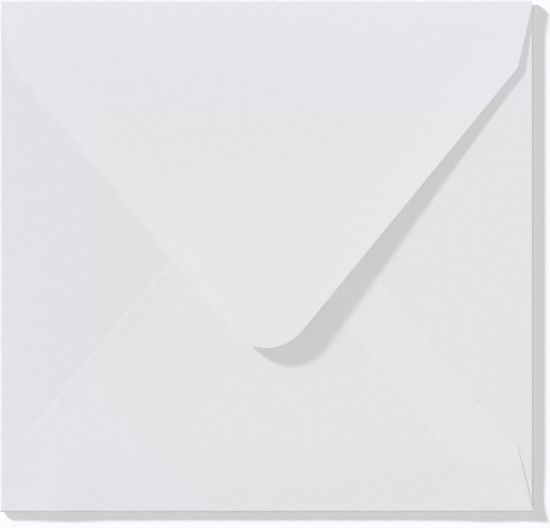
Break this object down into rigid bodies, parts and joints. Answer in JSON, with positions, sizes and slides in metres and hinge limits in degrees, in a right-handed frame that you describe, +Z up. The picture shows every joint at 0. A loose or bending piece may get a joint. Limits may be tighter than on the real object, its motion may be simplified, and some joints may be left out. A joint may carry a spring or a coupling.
{
  "type": "paper envelope",
  "caption": "Nearly square paper envelope with four pointed flaps, glued at the bottom, its top flap loose and slightly open.",
  "frame": {"origin": "under the middle of the envelope, on the surface that it lies on", "axes": "+X to the right seen from the flap side, +Y towards the top fold, +Z up, from the front panel to the flaps"},
  "size_m": [0.14, 0.1344, 0.0036],
  "materials": {
    "paper": "cool white, fine grain, faint pearl sheen"
  },
  "bodies": {
    "root": {"envelope": "paper"}
  },
  "joints": []
}
